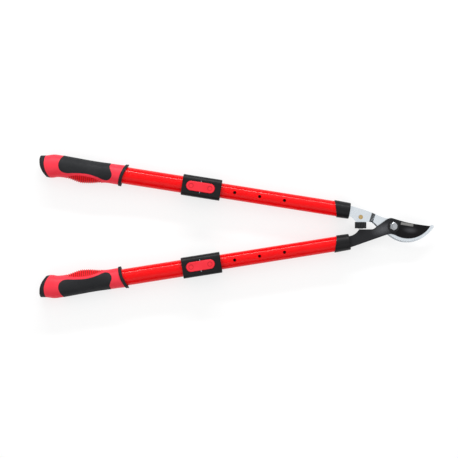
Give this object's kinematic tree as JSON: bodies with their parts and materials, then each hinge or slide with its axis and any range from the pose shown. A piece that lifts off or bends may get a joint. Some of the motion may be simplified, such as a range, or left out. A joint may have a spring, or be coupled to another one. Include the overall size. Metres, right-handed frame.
{
  "type": "telescopic bypass loppers",
  "caption": "Long-handled bypass loppers: curved blade passing a hooked jaw, on telescoping tube handles with rocker locks and ribbed two-material grips.",
  "frame": {"origin": "on the pivot axis, in the flat back face of the pivot bolt's head, with the jaws shut and both handles fully extended", "axes": "+X from the pivot to the jaw tips, +Y to the handle that carries the hook, +Z out of the blade's side of the head along the pivot axis"},
  "size_m": [0.7064, 0.258, 0.0415],
  "materials": {
    "red_paint": "gloss",
    "red_grip": "satin",
    "red_button": "satin",
    "black_rubber": "matte",
    "black_plastic": "satin",
    "blade_black": "non-stick satin",
    "black_steel": "black oxide",
    "bright_steel": "satin plated",
    "steel": "zinc plated",
    "brass": "turned",
    "nylon": "satin"
  },
  "bodies": {
    "hook_half": {"hook": "bright_steel", "pivot_bolt": "steel", "pivot_nut": "steel", "nut_insert": "nylon", "nut_washer": "black_steel", "friction_washer": "nylon", "bumper": "black_rubber", "bumper_screw": "steel", "barrel_nut": "brass", "upper_inner_tube": "red_paint", "upper_glide_plug": "nylon", "upper_tang_plug": "nylon", "upper_tang_rivets": "steel", "upper_ferrule": "black_plastic"},
    "blade_half": {"blade": "blade_black", "lower_inner_tube": "red_paint", "lower_glide_plug": "nylon", "lower_tang_plug": "nylon", "lower_tang_rivets": "steel", "lower_ferrule": "black_plastic"},
    "upper_handle": {"upper_outer_tube": "red_paint", "upper_lock_sleeve": "black_plastic", "upper_guide_bush": "nylon", "upper_sleeve_screw": "steel", "upper_rocker_pin": "steel", "upper_lock_spring": "steel", "upper_grip_body": "red_grip", "upper_grip_inlay": "black_rubber", "upper_grip_collar": "black_rubber", "upper_grip_end_cap": "black_rubber"},
    "lower_handle": {"lower_outer_tube": "red_paint", "lower_lock_sleeve": "black_plastic", "lower_guide_bush": "nylon", "lower_sleeve_screw": "steel", "lower_rocker_pin": "steel", "lower_lock_spring": "steel", "lower_grip_body": "red_grip", "lower_grip_inlay": "black_rubber", "lower_grip_collar": "black_rubber", "lower_grip_end_cap": "black_rubber"},
    "upper_lock": {"upper_lock_rocker": "red_button", "upper_lock_pin": "steel"},
    "lower_lock": {"lower_lock_rocker": "red_button", "lower_lock_pin": "steel"}
  },
  "joints": [
    {"name": "jaw_pivot", "type": "hinge", "parent": "hook_half", "child": "blade_half", "pos_m": [0, 0, 0.0146], "axis": [0, 0, 1], "range_deg": [0, 55]},
    {"name": "upper_extension", "type": "slide", "parent": "hook_half", "child": "upper_handle", "axis": [0.9877, -0.1564, 0], "range_m": [0, 0.135]},
    {"name": "lower_extension", "type": "slide", "parent": "blade_half", "child": "lower_handle", "axis": [0.9877, 0.1564, 0], "range_m": [0, 0.135]},
    {"name": "upper_lock_rock", "type": "hinge", "parent": "upper_handle", "child": "upper_lock", "pos_m": [-0.34552, 0.06991, 0.0307], "axis": [-0.1564, -0.9877, 0], "range_deg": [-6, 2], "stiffness_Nm_per_rad": 0.5, "deforming": ["upper_lock_spring"]},
    {"name": "lower_lock_rock", "type": "hinge", "parent": "lower_handle", "child": "lower_lock", "pos_m": [-0.34552, -0.06991, 0.0307], "axis": [0.1564, -0.9877, 0], "range_deg": [-6, 2], "stiffness_Nm_per_rad": 0.5, "deforming": ["lower_lock_spring"]}
  ]
}
